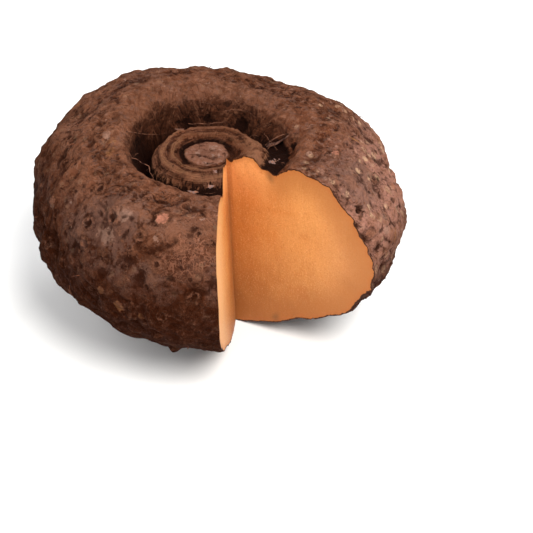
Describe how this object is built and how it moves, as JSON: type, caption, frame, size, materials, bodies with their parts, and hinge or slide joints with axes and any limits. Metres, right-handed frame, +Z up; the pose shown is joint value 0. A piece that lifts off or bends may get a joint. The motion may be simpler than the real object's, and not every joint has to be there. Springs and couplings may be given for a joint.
{
  "type": "elephant foot yam",
  "caption": "Flattened round corm with a sunken ringed crown, root-scarred brown skin and a wedge cut out that shows the flesh.",
  "frame": {"origin": "on the flat spot that the corm rests on, where the corm's axis meets it", "axes": "+Z up through the crown; the wedge is cut out of the side that faces -Y and +X, and the picture looks along +Y"},
  "size_m": [0.2389, 0.2316, 0.1459],
  "materials": {
    "skin": "rough, dry, matt bark-like skin"
  },
  "bodies": {
    "root": {"corm": "skin"}
  },
  "joints": []
}
